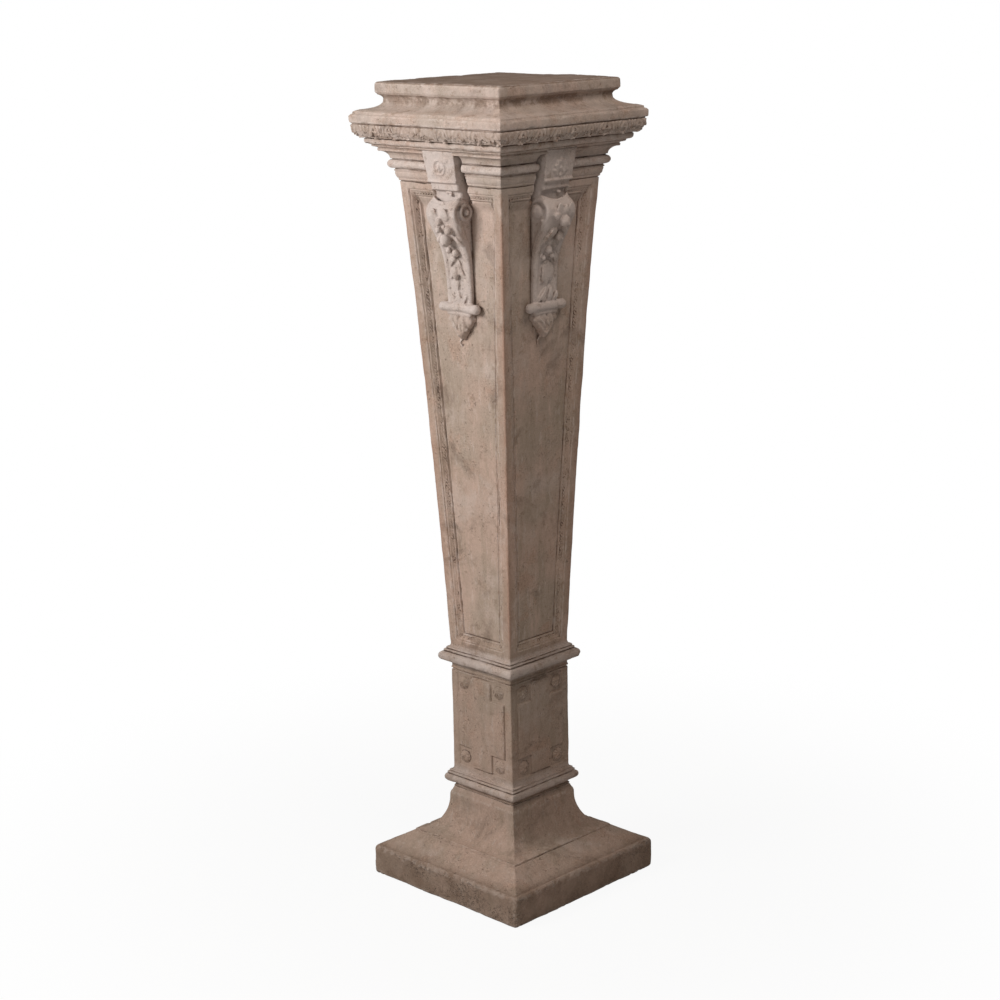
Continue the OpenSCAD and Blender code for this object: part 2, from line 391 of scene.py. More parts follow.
def make_block():
    collar = rows_along(low_collar_line(), 0.5, 1.8)
    head = rows_along(high_collar_line(), 0.5, 1.8)
    edges = close_round((-cross_rise, -cross_shoulder, cross_shoulder, cross_rise), 2.4, 0.8)
    levels = np.unique(np.round(np.r_[np.arange(block_z0 + 1.5, block_z1 - 5, 2.4), edges + block_mid], 1))
    levels = levels[(levels > block_z0 + 1) & (levels < block_z1 - 4)]
    face = np.stack([np.full_like(levels, half_block), levels], 1)
    line = np.concatenate([collar, face, head])
    inner = np.sort(np.r_[np.arange(0, 51, 3.0), close_round((cross_arm, cross_reach), 2.4, 0.8)])
    columns = [(0, d) for d in inner] + [(t, inner[-1] * (1 - t)) for t in np.linspace(0, 1, 6)[1:]]
    return swept("lower_block", line, columns_from(columns), block_relief, lambda z: 1.7 + 0 * z)


# ------------------------------------------------------------------------ shaft
def band_lines(inside):
    """Depth of the lines and channel that follow a panel's outline, at a distance inside it.

    An incised line, a channel for the carved strands, a fillet and a second
    incised line lie between the face and the sunk panel.
    """
    line_outside = 1.4 * dip(inside, 0.9, 0.8)
    channel = 0.7 * ease(inside, 2.6, 3.8) * ease(inside, 9.2, 8.0)
    line_inside = 1.6 * dip(inside, panel_band + 0.6, 0.8)
    fillet = 0.9 * dip(inside, panel_band - 1.4, 0.8)
    return line_outside + channel + line_inside - fillet


def panel_relief(across, z, h):
    side = h - panel_margin - across
    inside = np.minimum(side, np.minimum(z - panel_z0, panel_z1 - z))
    share = np.minimum(np.minimum(side, z - panel_z0) / panel_band, (panel_z1 - z) / panel_head_slope)
    sunk = (h - panel_half(z)) * np.clip(share, 0, 1)
    return np.where(inside > -2.5, sunk + band_lines(inside), 0)


def slot_cut(across, z, h, panel):
    """Adds the slot that a bracket stands in to the depth of a panel."""
    deep, shallow = panel_half(panel_z1 - 14), half_head - 8
    floor = deep + (shallow - deep) * ease(z, panel_z1 - 14, panel_z1 + 20)
    in_slot = ease(across, slot_half + 2.2, slot_half - 1.6)
    in_slot = in_slot * ease(z, panel_z1 - 17, panel_z1 - 12) * ease(z, slot_top + 1.5, slot_top - 1)
    return panel * (1 - in_slot) + np.maximum(h - floor, 0) * in_slot


def shaft_relief(across, z, h):
    return slot_cut(across, z, h, panel_relief(across, z, h))


def make_shaft():
    foot_rows = np.arange(shaft_z0 - 4, panel_z0 + 20, 1.0)
    plain_rows = np.linspace(panel_z0 + 20, panel_z1 - 20, 156)
    head_rows = np.arange(panel_z1 - 19, height - 138.9, 1.0)
    levels = np.concatenate([foot_rows, plain_rows, head_rows])
    line = np.stack([shaft_half(np.maximum(levels, shaft_z0)), levels], 1)
    from_arris = [29, 27.6, 26.9, 26.3, 25.7, 25, 24.2, 23.2, 21.8, 20.2, 18.8, 17.9, 17.1, 16.4,
                  15.8, 15.2, 14.4, 12.5, 10, 7.5, 5.2, 3.4]
    arris = 2.0
    shares = [0, 0.1, 0.2, 0.3, 0.38, 0.43, 0.46, 0.48, 0.495, 0.51, 0.53, 0.57, 0.65, 0.75, 0.87, 1]
    inner = [(t, -t * (31 - arris)) for t in shares]
    outer = [(1, arris - d) for d in from_arris]
    halves = columns_from(inner + outer + [(1, 0)])
    return swept("shaft", line, halves, shaft_relief, lambda z: arris + 0 * z)


# ---------------------------------------------------------------------- capital
def capital_relief(across, z, h):
    return slot_cut(across, z, h, no_relief(across, z, h))


def make_capital():
    line = rows_along(capital_line(), 0.5, 2.4)
    near_slot = [0, 8, 16, 23, 27, 29, 30.4, 31.4, 32.2, 33, 33.8, 34.6, 35.6, 37.5, 40]
    inner = [(0, d) for d in near_slot]
    outer = [(t, near_slot[-1] * (1 - t)) for t in np.linspace(0, 1, 25)[1:]]
    lids = np.linspace(1, 0.02, 22)[1:]
    return swept("capital", line, columns_from(inner + outer), capital_relief,
                 lambda z: 1.5 + 1.5 * ease(z, height - 26, height - 12), lids=lids)


def make_leaf_band():
    line = rows_along(leaf_band_line(), 0.6, 1.1)
    return swept("cornice_leaves", line, spread(112), no_relief, lambda z: 1.5 + 0 * z)


# --------------------------------------------------------------------- brackets
# Bracket solids are set out as (across, distance from the axis, height) on the
# -Y face, and are merged by a fine remesh into one carved lump.
def bracket_half(z):
    """Half width of a bracket at a height."""
    return 24 + 2.6 * ease(z, roll_z, scroll_z)


def bracket_field(x, z):
    """Front of a bracket: rounded strips beside a field that is sunk round its carving."""
    half = bracket_half(z)
    strip = ease(np.abs(x), half - 9.0, half - 6.5)
    sunk = 1.5 * ease(z, scroll_z - 16, scroll_z - 44) * ease(z, roll_z + 4, roll_z + 40) + 0.6
    rounding = 2.6 * np.minimum(np.abs(x) / half, 1) ** 14
    flat_above = ease(z, scroll_z - 8, scroll_z - 30)
    return bracket_front(z) - sunk * (1 - strip) * flat_above - rounding


def carving_ground(x, z):
    """Surface the leaves of a bracket's front lie on."""
    return bracket_field(x, z) + 0.4


def full_turns(steps):
    """Even angles of a full turn."""
    return np.linspace(0, 2 * math.pi, steps, endpoint=False)


def polar(n, z, r, turn):
    """Point (from the axis, height) at a distance and an angle in degrees round a middle."""
    return n + r * math.cos(math.radians(turn)), z + r * math.sin(math.radians(turn))


def ellipsoid(centre, radii, rings=12, segments=18):
    """Closed ball or egg."""
    up = np.radians(np.linspace(-84, 84, rings))[:, None]
    round_ = full_turns(segments)[None]
    points = np.stack([np.cos(up) * np.cos(round_), np.cos(up) * np.sin(round_),
                       np.sin(up) + 0 * round_], -1)
    return loft(points * np.array(radii, float) + np.array(centre, float))


def tube(path, radii, segments=12):
    """Closed tube along a path of points, with a radius at each."""
    path = np.array(path, float)
    radii = np.broadcast_to(np.asarray(radii, float), (len(path),))
    heading = np.gradient(path, axis=0)
    heading /= np.linalg.norm(heading, axis=1)[:, None]
    side = np.cross(heading, (0.13, 0.31, 0.94))
    side /= np.linalg.norm(side, axis=1)[:, None]
    other = np.cross(heading, side)
    turns = full_turns(segments)
    ring = (side[:, None] * np.cos(turns)[None, :, None] + other[:, None] * np.sin(turns)[None, :, None])
    return loft(path[:, None] + ring * radii[:, None, None])


def leaf(start, end, width, surface, thick=2.2, rise=2.4, tip=1.6, crease=1.4, cup=0.3):
    """Pointed leaf lying on a surface from (across, height) to (across, height).

    rise lifts its middle and tip its point; crease is the depth of its midrib
    hollow and cup how much of the leaf's width the hollow takes.
    """
    start, end = np.array(start, float), np.array(end, float)
    along = (end - start) / np.linalg.norm(end - start)
    sideways = np.array([-along[1], along[0]])
    rings = []
    for s in np.linspace(0.02, 0.98, 15):
        half = width / 2 * s ** 0.5 * (1 - s) ** 0.7 / 0.44 + 0.35
        middle = start + (end - start) * s
        lift = rise * math.sin(math.pi * s) + tip * s * s
        ring = []
        for turn in full_turns(14):
            c, q = math.cos(turn), math.sin(turn)
            x, z = middle + sideways * c * half
            n = surface(x, z) + lift + thick * q
            if q > 0:
                n -= crease * math.exp(-(c / cup) ** 2)
            ring.append((x, n, z))
        rings.append(ring)
    return loft(rings)


def console_body():
    """Front sheet and sides of the console, up to the scroll's middle."""
    rings = []
    for z in np.linspace(roll_z - 4, scroll_z + 4, 70):
        half = bracket_half(z)
        x = np.linspace(-half, half, 41)
        front = bracket_field(x, min(z, scroll_z))
        back = panel_half(z) - 4
        # behind a band along the front edge the sides draw in
        waist = half - 2.0
        band_back = front[-1] - 5.0 - 6.0 * ease(z, scroll_z - 75, scroll_z - 20)
        band_back = max(band_back, back + 3)
        ring = [(px, pn, z) for px, pn in zip(x, front)]
        ring += [(half, band_back, z), (waist, band_back - 1.8, z), (waist, back, z)]
        ring += [(-waist, back, z), (-waist, band_back - 1.8, z), (-half, band_back, z)]
        rings.append(ring)
    return loft(rings)


def rim_top(x):
    """Height of the sagging rim between the two scrolls."""
    return scroll_z + 14.5 + 6.5 * (x / 26.0) ** 2


def console_rim():
    """Thin front sheet that curls back above the scroll's middle to a sagging rolled rim."""
    half = bracket_half(scroll_z)
    xs = np.linspace(-half, half, 27)

    def sheet_front(x, z):
        return bracket_field(x, scroll_z) - 9.5 * (max(z - scroll_z, 0) / 17) ** 1.8
    rings = []
    for t in np.linspace(0, 1, 12):
        front, back = [], []
        for x in xs:
            z = scroll_z - 6 + (rim_top(x) - scroll_z + 6) * t
            n = sheet_front(x, z)
            front.append((x, n, z))
            back.append((x, n - 5.5 + 2.6 * t, z - 1.5 * t))
        rings.append(front + back[::-1])
    lip = [(x, sheet_front(x, rim_top(x)) - 0.6, rim_top(x) - 0.4) for x in xs * 0.97]
    return [loft(rings), tube(lip, 1.9)]


def scroll_line(turn, outer):
    """Distance from the eye of a scroll's winding at a turn in degrees."""
    return outer * (1 - 0.42 * (turn - 15) / 150) if turn < 165 else outer * 0.58 * 0.9984 ** (turn - 165)


def side_scroll(side, ringed):
    """Plate, winding, boss and hanging leaf of the scroll on one side of a bracket."""
    eye_n, half = panel_half(scroll_z) + 13.5, bracket_half(scroll_z)
    outer = bracket_front(scroll_z) - eye_n
    turns = np.arange(-20, 200, 7.0)
    edge = [polar(eye_n, scroll_z, scroll_line(max(t, 15), outer), t) for t in turns]
    edge += [(eye_n - 12, scroll_z - 16), (eye_n + 14, scroll_z - 14)]
    plate = loft([[(side * x, n, z) for n, z in edge] for x in (half - 6.0, half - 2.0)])
    winding = []
    for t in np.arange(-62, 160, 8.0):
        r = (outer - 3.4) * (1 - 0.42 * max(t - 15, 0) / 150)
        winding.append((side * (half - 1.4), *polar(eye_n, scroll_z, r, t)))
    solids = [plate, tube(winding, np.linspace(3.6, 2.6, len(winding)))]
    if ringed:
        ring = [(side * (half + 2.0), eye_n + 9.8 * math.cos(t), scroll_z + 1 + 9.8 * math.sin(t))
                for t in np.linspace(0, 2 * math.pi, 37)]
        solids += [tube(ring, 2.6), ellipsoid((side * (half + 2.8), eye_n, scroll_z + 1), (4.6, 4.4, 4.4)),
                   ellipsoid((side * (half - 2.0), eye_n, scroll_z + 1), (3.2, 9, 9))]
    else:
        solids += [ellipsoid((side * (half - 0.6), eye_n + 0.5, scroll_z), (5.6, 10.2, 10.0), 14, 26),
                   ellipsoid((side * (half + 4.6), eye_n - 1, scroll_z - 0.5), (1.4, 2.4, 2.4))]
    hang = [(side * (half + 0.2), eye_n + 9 + 1.8 * math.sin(5 * s), scroll_z - 10 - 16 * s)
            for s in np.linspace(0, 1, 10)]
    return solids + [tube(hang, np.linspace(3.0, 1.3, 10))]


def console_neck():
    """Neck between the scroll and the tablet, undercut behind the scroll's rim."""
    rings = []
    for z in np.linspace(scroll_z - 12, tablet_z0 + 4, 34):
        n = half_head + 2.2 + 7.8 * ease(z, scroll_z + 28, scroll_z + 31)
        half = 25.4 + 1.8 * ease(z, scroll_z + 20, tablet_z0)
        back = panel_half(panel_z1) - 4
        rings.append([(-half, back, z), (-half, n - 3, z), (-half + 2, n, z),
                      (half - 2, n, z), (half, n - 3, z), (half, back, z)])
    return loft(rings)


def roll(up, proud, reach, radius, flare):
    """Roll across a bracket's foot, with rounded ends."""
    n, middle = panel_half(roll_z) + proud, roll_z + up
    turns = full_turns(18)
    rings = []
    for x in np.linspace(-reach, reach, 41) * 0.9995:
        r = radius + flare * (x / reach) ** 2
        end = max(abs(x) - (reach - r), 0) / r
        r *= math.sqrt(max(1 - end * end, 0.02))
        crown = middle + 0.8 * dip(x, 0, 20)
        rings.append([(x, n + r * math.cos(t), crown + r * math.sin(t)) for t in turns])
    return loft(rings)


# the pendant leaf as (height from the roll, half width, how proud)
pendant_sizes = np.array([(-4, 20, 8), (-8, 22, 9.5), (-13, 24, 12.5), (-18, 23, 14), (-23, 19, 14.5),
                          (-29, 14, 14), (-36, 9, 13), (-41, 5.5, 11), (-45, 3, 6)])[::-1]


def pendant_leaf():
    """Folded leaf under the roll: lobed sides, round lobes at its shoulders and a small hook."""
    rings = []
    for up in np.linspace(-4, -45, 48):
        half, proud = (np.interp(up, pendant_sizes[:, 0], pendant_sizes[:, k]) for k in (1, 2))
        half += 1.5 * abs(math.sin(0.30 * up)) * ease(up, -44, -30)
        wall, z = panel_half(roll_z + up), roll_z + up
        xs = np.linspace(-half, half, 45)
        share = xs / half
        midrib = 2.2 * dip(xs, 1.0 + 0.1 * up, 1.6) * ease(up, -44, -36) * ease(up, -7, -11)
        waves = 1.4 * (1 - np.cos(share * 4.4 * math.pi + 0.30 * up))
        folds = midrib + waves * ease(up, -40, -26) * ease(up, -8, -13)
        n = wall + proud * np.sqrt(1 - np.minimum(np.abs(share), 0.999) ** 4) - folds
        ring = [(x, max(pn, wall - 1), z) for x, pn in zip(xs, n)]
        rings.append(ring + [(half, wall - 4, z), (-half, wall - 4, z)])
    solids = [loft(rings)]
    for x, up, r in ((-18, -17, 6.2), (17, -18, 6.4), (-11, -27, 5.0), (10, -29, 5.2), (-1, -37, 4.4)):
        n = panel_half(roll_z + up) + 9.9 - 0.16 * abs(x)
        solids.append(ellipsoid((x, n, roll_z + up), (r, 3.6, r * 0.8)))
    hook = [(-1 - 8 * math.sin(2.6 * s), panel_half(roll_z - 50) + 0.8, roll_z - 42 - 15 * s)
            for s in np.linspace(0, 1, 14)]
    return solids + [tube(hook, np.linspace(2.3, 1.0, 14))]


# Carving down a bracket's front.  Fruit as (across, height above the roll, radius,
# half height), leaves as (from across, from above, to across, to above, width).
fruit_garland = {
    "bold": 1.0,
    "fruit": [(-2, 124, 5.6, 5.8), (3.4, 117, 3.4, 3.4), (-8.3, 112.5, 5, 5), (13, 112.5, 6.6, 6.8),
              (-0.6, 97.5, 8.4, 9.6), (-15.5, 97.7, 4.4, 5), (-6.3, 82, 4.2, 4.6), (6.4, 79, 5.2, 5.6),
              (-0.5, 70, 5.0, 4.6), (-0.8, 48.5, 5.2, 9)],
    "cups": [(-10.5, 125, -9.9, 144, 11.5), (10.5, 125, 10.9, 144.5, 14)],
    "leaves": [(14, 104, 25, 90, 8), (-9, 106, -19, 88, 7), (-4, 74, -12, 58, 7), (3, 70, 9, 58, 6),
               (3, 58, 15, 43, 8), (-3, 58, -14, 40, 8), (0, 42, -1, 24, 6), (1, 5, 0, 24, 10),
               (-3, 6, -15, 19, 7), (5, 6, 18, 20, 8)]}
bud_garland = {
    "bold": 1.45,
    "fruit": [(3.3, 122, 8.2, 8.2), (3.7, 101, 5.8, 8), (-5.7, 81, 5.4, 5.4), (4.9, 72, 4.2, 4.2),
              (-11, 70, 3.4, 4)],
    "cups": [(-3, 124, -8, 148, 14), (8, 123, 17, 147, 14), (3, 96, -4, 84, 9), (5, 96, 13, 83, 9)],
    "leaves": [(3, 127, 5, 145, 9), (-4, 126, -17, 132, 9), (-8, 113, -19, 90, 8), (-3, 112, -12, 97, 6),
               (7, 113, 20, 98, 9), (8, 78, 18, 60, 7), (-1, 66, -1, 29, 13), (-6, 63, -9, 33, 9),
               (5, 63, 8, 33, 9), (-17, 8, 1, 28, 6), (3, 5, 9, 29, 9), (12, 6, 20, 21, 6),
               (-6, 5, -8, 18, 6)]}


def garland_solids(carving, mirror):
    """Fruit and leaves down the bracket's front."""
    solids = []
    bold = carving["bold"]
    for x, up, r, tall in carving["fruit"]:
        x, z = mirror * x, roll_z + up
        n = bracket_front(z + 0.7 * r) - 1.0 + 0.30 * bold * r
        solids.append(ellipsoid((x, n, z), (r, r, tall)))
        solids.append(ellipsoid((x + mirror * 0.25 * r, n + 0.78 * r, z - 0.52 * tall),
                                (0.24 * r, 0.3 * r, 0.24 * r), 7, 9))
    flat = {"thick": 2.0 * bold, "rise": 2.2 * bold, "tip": 0.6, "crease": 0.9 * bold, "cup": 0.5}
    hollow = {"thick": 2.4, "rise": 1.6, "crease": 1.5, "cup": 0.7}
    for kind, shape in (("leaves", flat), ("cups", hollow)):
        for x0, up0, x1, up1, width in carving[kind]:
            start, end = (mirror * x0, roll_z + up0), (mirror * x1, roll_z + up1)
            solids.append(leaf(start, end, width, carving_ground, **shape))
    return solids


def rim_bud(mirror):
    """Bud in the hollow behind the sagging rim."""
    return [ellipsoid((mirror * 9, half_head + 5.2, scroll_z + 25.0), (3.4, 3.0, 2.8)),
            ellipsoid((mirror * 2, half_head + 4.2, scroll_z + 27.0), (4.0, 2.0, 1.6))]


def tablet_face(z):
    """Distance from the axis to the sloping face of the tablet."""
    t = (z - tablet_z0 - 4) / (tablet_z1 - tablet_z0 - 4)
    return half_head + 15 + 8.2 * t


def tablet_plate(mirror):
    """Sloping tablet with a lip along its foot."""
    rings = []
    for z in np.linspace(tablet_z0, tablet_z1, 40):
        t = (z - tablet_z0) / (tablet_z1 - tablet_z0)
        half = 27.6 + 3.2 * t
        lip = 2.2 * dip(z, tablet_z0 + 2.2, 1.7) - 0.8 * dip(z, tablet_z0 + 5.6, 0.9)
        xs = np.linspace(-half, half, 25)
        hollow = 0.9 * dip(xs, mirror * 6, 15) * dip(t, 0.5, 0.4)
        sag = 1.4 * np.clip((np.abs(xs) / half) ** 6, 0, 1) + hollow
        ring = [(x, tablet_face(z) + lip - s, z) for x, s in zip(xs, sag)]
        rings.append(ring + [(half, half_head - 4, z), (-half, half_head - 4, z)])
    return loft(rings)


def on_tablet(x, up, proud):
    """Point on the tablet's face, from its rosette's middle."""
    z = tablet_z0 + 22 + up
    return x, tablet_face(z) + proud, z


def ringed_rosette():
    """Ring with a boss and a swirl in it, and curls round it."""
    ring = [on_tablet(10.2 * math.cos(t), 10.2 * math.sin(t), -0.2)
            for t in np.linspace(0, 2 * math.pi, 31)]
    _, n, middle = on_tablet(0, 0, 0.1)
    swirl = [(0.6 * t * math.cos(t) + 2.2, n, middle + 0.6 * t * math.sin(t))
             for t in np.linspace(3, 11, 34)]
    solids = [tube(ring, 1.7), ellipsoid(on_tablet(0, 0, 0.4), (3.2, 3.0, 3.2)), tube(swirl, 1.1)]
    for x, up, tilt in ((16, 10, 0.6), (19, -4, -0.5), (-15, -9, 0.8), (13, -13, 0.2)):
        _, n, middle = on_tablet(x, up, 0.1)
        curl = [(x + 4 * math.cos(t) * (1 - 0.12 * t), n, middle + 4 * math.sin(t) * (1 - 0.12 * t))
                for t in np.linspace(tilt, tilt + 5, 18)]
        solids.append(tube(curl, np.linspace(1.3, 0.8, 18)))
    return solids


def petal_rosette():
    """Spray of petals over a cluster of buds."""
    solids = []
    for t in np.radians(np.linspace(-25, 205, 7)):
        (x0, _, z0), (x1, _, z1) = (on_tablet(r * math.cos(t), r * math.sin(t) - 3, 0) for r in (2.5, 13.5))
        solids.append(leaf((x0, z0), (x1, z1), 6.2, lambda x, z: tablet_face(z) - 0.6,
                           thick=1.9, rise=1.8, tip=1.4))
    buds = ((0, -3, 3.6), (-6, -11, 2.8), (1, -13, 3.0), (8, -11, 2.6), (13, -6, 2.2), (-13, -6, 2.2))
    return solids + [ellipsoid(on_tablet(x, up, 0.2), (r, r * 0.8, r)) for x, up, r in buds]


def make_bracket(name, turn, ringed, mirror):
    """One bracket with its tablet, merged and turned to its face."""
    voxel = 1.15
    carving = fruit_garland if ringed else bud_garland
    solids = [console_body(), console_neck(), roll(0, 8, 39, 6.5, 0.9), roll(-8.5, 8, 24, 3.2, 0)]
    solids += console_rim() + side_scroll(-1, ringed) + side_scroll(1, ringed) + pendant_leaf()
    solids += garland_solids(carving, mirror) + rim_bud(mirror) + [tablet_plate(mirror)]
    solids += ringed_rosette() if ringed else petal_rosette()
    points, faces = joined(solids)
    obj = mesh_object(name, quarter_turned(points * (1, -1, 1), turn), faces)
    merge = obj.modifiers.new("merge", "REMESH")
    merge.mode, merge.voxel_size = "VOXEL", voxel * MM
    soft = obj.modifiers.new("soften", "SMOOTH")
    soft.factor, soft.iterations = 0.5, 1
    return evaluated(obj)


# ------------------------------------------------------------------- node tools
class Value:
    """A node's output socket; arithmetic on it adds Math nodes to its tree."""

    def __init__(self, web, socket):
        self.web, self.socket = web, socket

    def maths(self, operation, *values, clamp=False):
        settings = {"operation": operation, "use_clamp": clamp}
        return self.web.node("ShaderNodeMath", settings, dict(enumerate(values)))

    def of(self, operation):
        """A Math node of this value alone."""
        return self.maths(operation, self)

    def __add__(self, other):
        return self.maths("ADD", self, other)

    def __radd__(self, other):
        return self.maths("ADD", other, self)

    def __sub__(self, other):
        return self.maths("SUBTRACT", self, other)

    def __rsub__(self, other):
        return self.maths("SUBTRACT", other, self)

    def __mul__(self, other):
        return self.maths("MULTIPLY", self, other)

    def __rmul__(self, other):
        return self.maths("MULTIPLY", other, self)

    def __truediv__(self, other):
        return self.maths("DIVIDE", self, other)

    def rising(self, start, end):
        """0 before start, 1 after end, smooth between; it falls where end is below start."""
        return self.web.node("ShaderNodeMapRange", {"interpolation_type": "SMOOTHSTEP"},
                             {"Value": self, "From Min": start, "From Max": end})

    def within(self, a, b, c, d):
        """Smooth rise from a to b and fall from c to d."""
        return self.rising(a, b) * self.rising(d, c)

    def held(self):
        """Kept between 0 and 1."""
        return self.maths("ADD", self, 0.0, clamp=True)


class Web:
    """Adds nodes to one node tree."""

    def __init__(self, tree):
        self.tree = tree

    @staticmethod
    def find(sockets, key):
        if isinstance(key, int):
            return sockets[key]
        for socket in sockets:
            if socket.identifier == key:
                return socket
        return sockets[key]

    def node(self, kind, settings=None, inputs=None, out=0):
        made = self.tree.nodes.new(kind)
        for key, value in (settings or {}).items():
            setattr(made, key, value)
        for key, value in (inputs or {}).items():
            socket = self.find(made.inputs, key)
            if isinstance(value, Value):
                self.tree.links.new(value.socket, socket)
            else:
                socket.default_value = value
        return Value(self, self.find(made.outputs, out))

    def outputs(self, value, keys):
        """Other outputs of the node that a value comes from."""
        return [Value(self, self.find(value.socket.node.outputs, key)) for key in keys]

    def axes(self, vector):
        """The X, Y and Z of a vector."""
        return self.outputs(self.node("ShaderNodeSeparateXYZ", None, {"Vector": vector}), "XYZ")

    def vector(self, operation, a, b, out="Vector"):
        return self.node("ShaderNodeVectorMath", {"operation": operation}, {0: a, 1: b}, out)

    def scaled(self, vector, amount):
        return self.node("ShaderNodeVectorMath", {"operation": "SCALE"}, {0: vector, "Scale": amount})

    def noise(self, where, scale, detail=3.0, rough=0.55, seed=0.0, distort=0.0):
        return self.node("ShaderNodeTexNoise", {"noise_dimensions": "4D"},
                         {"Vector": where, "W": seed, "Scale": scale, "Detail": detail,
                          "Roughness": rough, "Distortion": distort})

    def blend(self, amount, a, b, how="MIX"):
        """Colour a turned to colour b, or multiplied by it, by an amount."""
        return self.node("ShaderNodeMix", {"data_type": "RGBA", "blend_type": how},
                         {"Factor_Float": amount, "A_Color": a, "B_Color": b}, "Result_Color")

    def crest(self, where, facing, spread):
        """How far each point of a mesh stands out of the points around it, in metres."""
        flat = self.node("GeometryNodeBlurAttribute", {"data_type": "FLOAT_VECTOR"},
                         {"Value": where, "Iterations": spread}, "Value")
        return self.vector("DOT_PRODUCT", self.vector("SUBTRACT", where, flat), facing, "Value")

    def source_mesh(self, source):
        """The mesh of another object."""
        return self.node("GeometryNodeObjectInfo", {"transform_space": "ORIGINAL"},
                         {"Object": source}, "Geometry")

    def stored_vector(self, name):
        return self.node("GeometryNodeInputNamedAttribute", {"data_type": "FLOAT_VECTOR"}, {"Name": name})

    def pushed(self, geometry, facing, amount):
        """Geometry moved along its own facing by an amount in metres."""
        return self.node("GeometryNodeSetPosition", None,
                         {"Geometry": geometry, "Offset": self.scaled(facing, amount)})


def shader_web(owner):
    """Web on the emptied node tree of a material or world."""
    owner.use_nodes = True
    owner.node_tree.nodes.clear()
    return Web(owner.node_tree)


def into_surface(web, kind, shader):
    sink = web.tree.nodes.new(kind)
    web.tree.links.new(shader.socket, sink.inputs["Surface"])


def new_tree(name, inputs):
    """Geometry node tree with a geometry in and out, the named inputs and the stone of its result."""
    inputs = {**inputs, "Stone": "Material"}
    tree = bpy.data.node_groups.new(name, "GeometryNodeTree")
    tree.interface.new_socket("Geometry", in_out="INPUT", socket_type="NodeSocketGeometry")
    tree.interface.new_socket("Geometry", in_out="OUTPUT", socket_type="NodeSocketGeometry")
    for key, kind in inputs.items():
        tree.interface.new_socket(key, in_out="INPUT", socket_type="NodeSocket" + kind)
    web = Web(tree)
    source = tree.nodes.new("NodeGroupInput")
    given = {key: Value(web, source.outputs[key]) for key in ["Geometry", *inputs]}
    return tree, web, given


def finish_tree(web, geometry, stone):
    """Ends a tree in plain mesh with its stone set."""
    geometry = web.node("GeometryNodeRealizeInstances", None, {"Geometry": geometry})
    geometry = web.node("GeometryNodeSetMaterial", None, {"Geometry": geometry, "Material": stone})
    sink = web.tree.nodes.new("NodeGroupOutput")
    web.tree.links.new(geometry.socket, sink.inputs[0])


def grown(obj, tree, stone, values):
    """Runs a geometry node tree on an object and keeps the result as its mesh."""
    values = {**values, "Stone": stone}
    modifier = obj.modifiers.new(tree.name, "NODES")
    modifier.node_group = tree
    for item in tree.interface.items_tree:
        if item.in_out == "INPUT" and item.name in values:
            modifier[item.identifier] = values[item.name]
    return evaluated(obj)


# -------------------------------------------------------------- worn cast stone
def stone_noises(web, where):
    """Noises of the stone by name, from slow clouds to grit, some drawn out down the height."""
    run_down = web.vector("MULTIPLY", where, (1.0, 1.0, 0.22))
    # place, scale, detail, roughness, seed and distortion of each
    kinds = {"broad": (where, 9.0, 3.0, 0.55, 1.0), "smudge": (where, 14.0, 6.0, 0.70, 8.0, 0.8),
             "cloud": (where, 26.0, 5.0, 0.66, 2.0, 0.4), "streak": (run_down, 48.0, 5.0, 0.70, 6.0, 0.3),
             "thread": (run_down, 130.0, 4.0, 0.66, 7.0), "spot": (where, 75.0, 4.0, 0.66, 3.0),
             "speck": (where, 260.0, 3.0, 0.65, 5.0), "grit": (where, 620.0, 2.0, 0.6, 4.0),
             "light": (where, 11.0, 5.0, 0.66, 10.0, 0.6), "cuts": (where, 200.0, 3.0, 0.6, 9.0)}
    return SimpleNamespace(**{name: web.noise(*kind) for name, kind in kinds.items()})


def mottling(n):
    """Pink, olive and grey in clouds and in streaks down the height."""
    return [(n.broad.rising(0.40, 0.60), (0.392, 0.306, 0.246)),
            (n.streak.rising(0.49, 0.66) * 0.60, (0.302, 0.238, 0.180)),
            (n.streak.rising(0.47, 0.33) * 0.60, (0.545, 0.392, 0.320)),
            (n.thread.rising(0.55, 0.70) * 0.35, (0.250, 0.188, 0.140)),
            (n.thread.rising(0.45, 0.32) * 0.40, (0.570, 0.480, 0.430)),
            (n.cloud.rising(0.54, 0.68) * 0.40, (0.400, 0.250, 0.182)),
            (n.light.rising(0.52, 0.66) * 0.45, (0.520, 0.430, 0.380)),
            (n.smudge.rising(0.52, 0.66) * 0.68, (0.205, 0.150, 0.116))]


